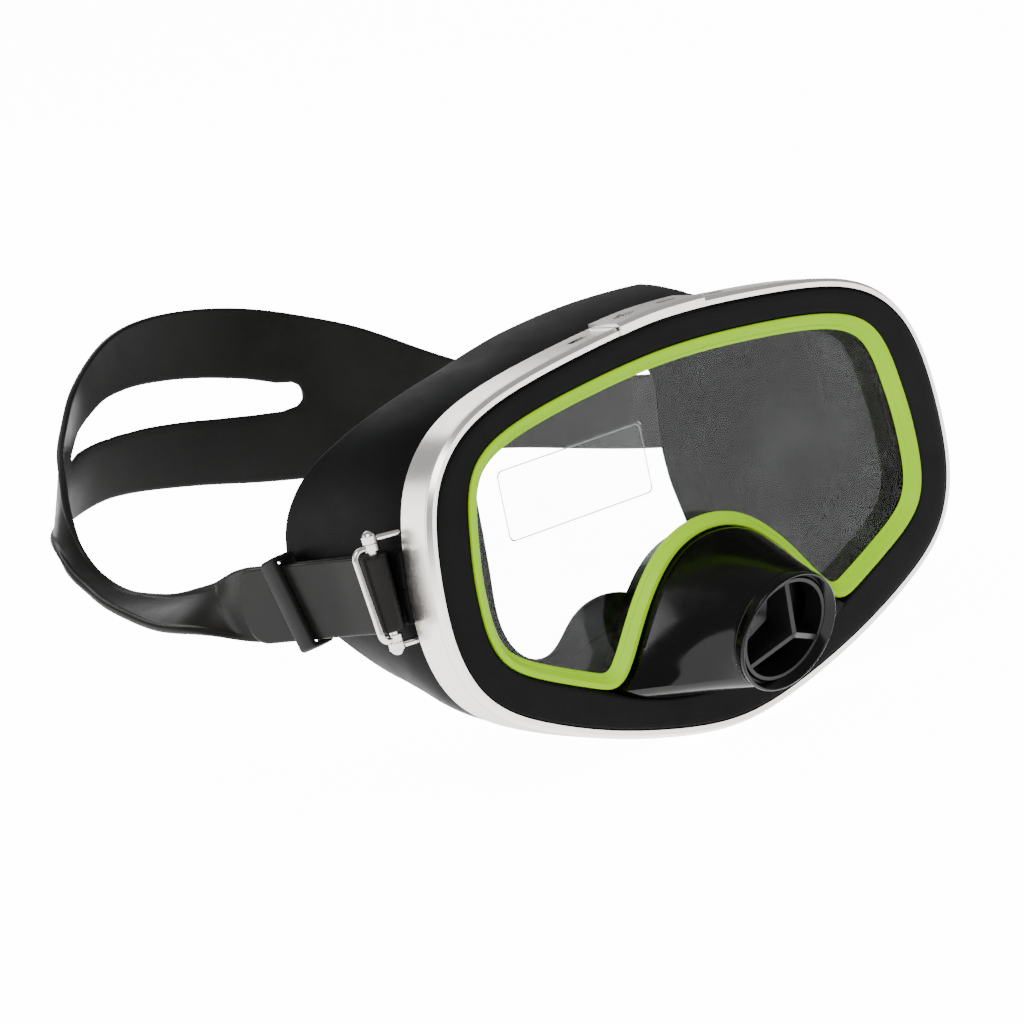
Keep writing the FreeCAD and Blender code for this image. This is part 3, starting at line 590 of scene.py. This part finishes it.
SLOT_END_STEPS = np.array([0.0, 0.12, 0.4, 0.8, 1.3, 1.9, 2.6, 3.4, 4.3])
TAIL_CORNER = 6.0
PANEL_START, PANEL_SLANT, PANEL_DEPTH = 52.0, 12.0, 0.65


def make_strap():
    tops, lows = end_stations()
    h = STRAP_W / 2
    join = [(at(u, -LAYER, h), at(u, -LAYER, -h)) for u in (40.0, 43.0, 46.0)]
    loop = [(np.array(a), np.array(b)) for a, b in STRAP_LOOP]
    knots = join + loop[::-1] + [(a * MIRROR, b * MIRROR) for a, b in join[::-1]]
    both = spline([np.concatenate(k) for k in knots], 30, False)
    both = even(both, 420)[1:-1]
    ends = np.array([np.concatenate(p) for p in zip(tops, lows)])
    far = (ends.reshape(-1, 2, 3) * MIRROR).reshape(-1, 6)[::-1]
    line = np.concatenate([ends, both, far])
    top, low = line[:, :3], line[:, 3:]
    middle = (top + low) / 2
    s = np.concatenate([[0], np.cumsum(np.linalg.norm(np.diff(middle, axis=0), axis=1))])
    # The slot's ends need closer stations than the rest.
    places = []
    for x, y, z0, z1 in STRAP_SLOT:
        k = int(np.argmin((middle[:, 0] - x) ** 2 + (middle[:, 1] - y) ** 2))
        share = [(z - low[k, 2]) / (top[k, 2] - low[k, 2]) for z in (z0, z1)]
        places.append((s[k], sum(share) / 2, (share[1] - share[0]) / 2))
    places.sort()
    first, last = places[0][0] - 0.5, places[-1][0] + 0.5
    extra = np.concatenate([first + SLOT_END_STEPS, last - SLOT_END_STEPS])
    keep = s[(np.abs(s[:, None] - extra[None]).min(1) > 0.25)]
    t = np.sort(np.concatenate([keep, extra]))
    top = np.stack([np.interp(t, s, top[:, i]) for i in range(3)], 1)
    low = np.stack([np.interp(t, s, low[:, i]) for i in range(3)], 1)
    slot_s = [first] + [p[0] for p in places] + [last]
    slot_mid = [places[0][1]] + [p[1] for p in places] + [places[-1][1]]
    slot_half = [0.0] + [p[2] ** 2 for p in places] + [0.0]
    mid = np.interp(t, slot_s, slot_mid)
    half = np.sqrt(np.interp(t, slot_s, slot_half, left=0.0, right=0.0))

    middle = (top + low) / 2
    run = np.gradient(middle, t, axis=0)
    run /= np.linalg.norm(run, axis=1)[:, None]
    wide = top - low
    width = np.linalg.norm(wide, axis=1)
    wide /= width[:, None]
    out = np.cross(run, wide)
    out /= np.linalg.norm(out, axis=1)[:, None]

    # The tail's end is rounded in its own plane.
    tail_s = np.minimum(t, t[-1] - t)
    chord = np.sqrt(np.maximum(0, TAIL_CORNER ** 2 - (TAIL_CORNER - tail_s) ** 2))
    inset = np.where(tail_s < TAIL_CORNER, TAIL_CORNER - chord, 0)
    # Distance along the strap from where each inner layer leaves its pin.
    turn = TAIL_L + math.pi * WRAP
    along = tail_s - turn

    edge_steps = [0.0, 0.12, 0.35, 0.7, 1.2, 1.55, 1.85, 2.15, 2.5]
    round_off = [0.62, 0.28, 0.08, 0.0, 0.0, 0.0, 0.0, 0.0, 0.0]
    bead_share = [0.0, 0.0, 0.0, 0.0, 0.0, 0.12, 0.6, 0.95, 1.0]
    cut_steps = [0.0, 0.12, 0.35, 0.8]
    cut_round = [0.5, 0.22, 0.06, 0.0]
    per_half = len(edge_steps) + 6 + len(cut_steps)
    rows = []
    for i in range(len(t)):
        columns = []
        for branch in (0, 1):
            a0 = inset[i]
            centre = mid[i] if branch == 0 else 1 - mid[i]
            a1 = (centre - half[i]) * width[i] if half[i] > 0 else centre * width[i]
            opened = min(1.0, half[i] * width[i] / 0.6)
            stretch = min(1.0, max(0.02, (a1 - a0 - 0.8) / 4.5))
            spots = [(a0 + e * stretch, r, b) for e, r, b in zip(edge_steps, round_off, bead_share)]
            inner_start, inner_end = spots[-1][0], a1 - cut_steps[-1] * stretch
            spots += [(inner_start + (inner_end - inner_start) * f, 0.0, 1.0)
                      for f in np.linspace(0, 1, 8)[1:-1]]
            spots += [(a1 - c * stretch, r * opened, 1.0)
                      for c, r in zip(cut_steps[::-1], cut_round[::-1])]
            for face_side in (1, -1):
                for a, r, b in spots:
                    w = a if branch == 0 else width[i] - a
                    start = PANEL_START + PANEL_SLANT * w / width[i]
                    panel = float(smooth(along[i] - start, -1.0, 1.4))
                    depth = PANEL_DEPTH * panel * b if face_side > 0 else 0.0
                    n = face_side * (STRAP_T / 2 * (1 - r) - depth)
                    columns.append(low[i] + wide[i] * w + out[i] * n)
        rows.append(columns)
    verts = np.array(rows).reshape(-1, 3)
    per_row = 4 * per_half
    faces = []

    def strip(i, c, d):
        a, b = i * per_row, (i + 1) * per_row
        faces.append((a + c, a + d, b + d, b + c))

    for i in range(len(t) - 1):
        for chain in range(4):
            for c in range(per_half - 1):
                strip(i, chain * per_half + c, chain * per_half + c + 1)
        for branch in (0, 2 * per_half):
            strip(i, branch, branch + per_half)
            if half[i] > 0 or half[i + 1] > 0:
                strip(i, branch + per_half - 1, branch + 2 * per_half - 1)
    for i in (0, len(t) - 1):
        for branch in (0, 2 * per_half):
            for c in range(per_half - 1):
                a = i * per_row + branch + c
                faces.append((a, a + 1, a + 1 + per_half, a + per_half))
    return piece("head_strap", verts, faces, "mask", STRAP_RUBBER, ["strap"],
                 42, 1e-6)


# ---------------------------------------------------------------- keepers and pads
def rounded_box(a, b, r, per=7):
    """A rounded rectangle of half sizes a and b, as points in its own plane."""
    out = []
    for cx, cy, start in ((a - r, b - r, 0), (r - a, b - r, 90), (r - a, r - b, 180),
                          (a - r, r - b, 270)):
        for deg in np.linspace(start, start + 90, per):
            v = math.radians(deg)
            out.append((cx + r * math.cos(v), cy + r * math.sin(v)))
    return np.array(out)


def make_keeper(side):
    c, s = math.cos(KEEPER_SLANT), math.sin(KEEPER_SLANT)
    bands = [(4.4, 12.4, 1.3, -2.2), (4.25, 12.25, 1.2, -2.55), (4.0, 12.0, 1.0, -2.7),
             (3.0, 11.4, 0.7, -2.7), (2.8, 11.25, 0.6, -2.5), (2.75, 11.2, 0.6, 0.0),
             (2.8, 11.25, 0.6, 2.5), (3.0, 11.4, 0.7, 2.7), (4.0, 12.0, 1.0, 2.7),
             (4.25, 12.25, 1.2, 2.55), (4.4, 12.4, 1.3, 2.2), (4.4, 12.4, 1.3, 0.0)]
    rings = []
    for n_half, w_half, r, p in bands:
        points = []
        for n, q in rounded_box(n_half, w_half, r):
            n = n if n > 0 else n * (KEEPER_INSIDE if n_half > KEEPER_WINDOW else WINDOW_INSIDE)
            u, w = p * c + q * s, -p * s + q * c
            points.append(at(KEEPER_AT + u, n, w))
        rings.append(np.array(points) * (MIRROR if side == "left" else 1))
    verts, faces = skinned(rings)
    return piece("strap_keeper_" + side, verts, faces, "keeper_" + side, KEEPER_RUBBER,
                 ["keeper_" + side], 40)


def wall_at(y, z):
    """How far out the skirt's side is at a depth and height."""
    r = through(OUTER, OUTER_AT, y)
    order = (ANGLE < 1.2) | (ANGLE > 2 * math.pi - 1.2)
    heights, sides = (r * SIN)[order], (r * COS)[order]
    rank = np.argsort(heights)
    return float(np.interp(z, heights[rank], sides[rank]))


def make_lug_pad(side):
    y0, y1, z0, z1 = PAD_FRONT, PAD_REAR, PIN[2] - PAD_HALF, PIN[2] + PAD_HALF
    crease = PIN[2] - 0.3
    ys = np.array([0.0, 0.12, 0.4, 1.2, 2.0, 2.5, 2.78, 2.9]) / 2.9 * (y1 - y0) + y0
    edges = [z0 + 0.12, z0 + 0.4, z1 - 0.12, z1 - 0.4]
    beside = crease + np.array([-0.5, -0.22, -0.08, 0.08, 0.22, 0.5])
    zs = np.unique(np.concatenate([np.linspace(z0, z1, 26), edges, beside]))
    front, back = [], []
    for z in zs:
        for y in ys:
            e = min(y - y0, y1 - y, z - z0, z1 - z)
            high = 0.62 - 0.25 * (1 - float(smooth(e, 0, 0.5)))
            high -= 0.35 * math.exp(-((z - crease) / 0.16) ** 2)
            x = wall_at(y, z)
            front.append((x + high, y, z))
            back.append((x + 0.08, y, z))
    verts = np.array(front + back) * (MIRROR if side == "left" else 1)
    ny, nz = len(ys), len(zs)
    off, faces = ny * nz, []
    for j in range(nz - 1):
        for i in range(ny - 1):
            a = j * ny + i
            faces.append((a, a + 1, a + 1 + ny, a + ny))
            faces.append((off + a, off + a + ny, off + a + 1 + ny, off + a + 1))
    border = list(range(ny)) + [j * ny + ny - 1 for j in range(1, nz)]
    border += [(nz - 1) * ny + i for i in range(ny - 2, -1, -1)]
    border += [j * ny for j in range(nz - 2, 0, -1)]
    for a, b in zip(border, border[1:] + border[:1]):
        faces.append((a, off + a, off + b, b))
    return piece("lug_cushion_" + side, verts, faces, "mask", RUBBER,
                 ["lug_pad_" + side], 40)


def make_label_edge():
    """The film's printed border, a thin raised line inside its outline."""
    x0, y, z0 = LABEL_AT
    c, s = math.cos(LABEL_LEAN), math.sin(LABEL_LEAN)
    rings = []
    for inset, depth in ((0.45, 0.0), (0.75, 0.0), (0.75, 0.02), (0.45, 0.02)):
        p = rounded_box(LABEL_HALF[0] - inset, LABEL_HALF[1] - inset, 1.6)
        x = x0 + p[:, 0] * c - p[:, 1] * s
        z = z0 + p[:, 0] * s + p[:, 1] * c
        rings.append(np.stack([x, np.full(len(x), y + depth), z], 1))
    verts, faces = skinned(rings)
    return piece("label_edge", verts, faces, "mask", PRINT)


def pale_print():
    n = Nodes("pale_print")
    n.link(n.mix(n.remap(n.noise(300.0, 3.0), 0.35, 0.65, 0, 1), (0.42, 0.44, 0.44),
                 (0.62, 0.64, 0.64)), n.shader.inputs["Base Color"])
    n.link(n.remap(n.noise(500.0), 0.3, 0.7, 0.5, 0.7), n.shader.inputs["Roughness"])
    return n.material


PRINT = pale_print()
make_body()
make_nose()
make_strap()
make_label_edge()
for side in ("left", "right"):
    make_keeper(side)
    make_lug_pad(side)


# ---------------------------------------------------------------- floor and light
# The floor's glow as it lights the object, in the object's gloss, and as the camera sees it.
FLOOR_GLOW, FLOOR_MIRRORED, FLOOR_SEEN = 0.45, 2.3, 14.0
FLOOR_HALF, FLOOR_DROP, WORLD_LIGHT = 6.0, 0.0003, 0.42
LAMPS = [("key", (-1.1, -0.7, 1.5), (0, 0.05, 0), 20, 1.0),
         ("left_strip", (-1.4, 1.2, 0.45), (0, 0.1, 0), 13, 1.1),
         ("back", (0.6, 1.6, 1.2), (0, 0.05, 0), 8, 1.0)]


def make_floor():
    size, z = FLOOR_HALF, old_low.z - FLOOR_DROP
    mesh = bpy.data.meshes.new("floor")
    mesh.from_pydata([(-size, -size, z), (size, -size, z), (size, size, z), (-size, size, z)], [],
                     [(0, 1, 2, 3)])
    n = Nodes("floor")
    n.link(n.mix(n.remap(n.noise(3.0), 0.4, 0.6, 0, 1), (0.93, 0.93, 0.93), (0.95, 0.95, 0.95)),
           n.shader.inputs["Base Color"])
    n.set(Roughness=0.9, Specular_IOR_Level=0.1, Emission_Color=(1, 1, 1, 1))
    path = n.add("ShaderNodeLightPath")
    seen = n.remap(path.outputs["Is Camera Ray"], 0, 1, FLOOR_GLOW, FLOOR_SEEN)
    mirrored = n.add("ShaderNodeMath", operation="MULTIPLY_ADD")
    mirrored.inputs[1].default_value = FLOOR_MIRRORED - FLOOR_GLOW
    n.link(path.outputs["Is Glossy Ray"], mirrored.inputs[0])
    n.link(seen, mirrored.inputs[2])
    n.link(mirrored.outputs[0], n.shader.inputs["Emission Strength"])
    mesh.materials.append(n.material)
    floor = bpy.data.objects.new("floor", mesh)
    bpy.context.scene.collection.objects.link(floor)


def lamp(name, place, target, power, size):
    data = bpy.data.lights.new(name, "AREA")
    data.energy, data.size = power, size
    obj = bpy.data.objects.new(name, data)
    obj.location = place
    aim = Vector(target) - Vector(place)
    obj.rotation_euler = aim.to_track_quat("-Z", "Y").to_euler()
    bpy.context.scene.collection.objects.link(obj)


make_floor()
for settings in LAMPS:
    lamp(*settings)
world = bpy.data.worlds.new("studio")
world.use_nodes = True
world.node_tree.nodes["Background"].inputs[0].default_value = (1.0, 1.0, 1.0, 1)
world.node_tree.nodes["Background"].inputs[1].default_value = WORLD_LIGHT
bpy.context.scene.world = world
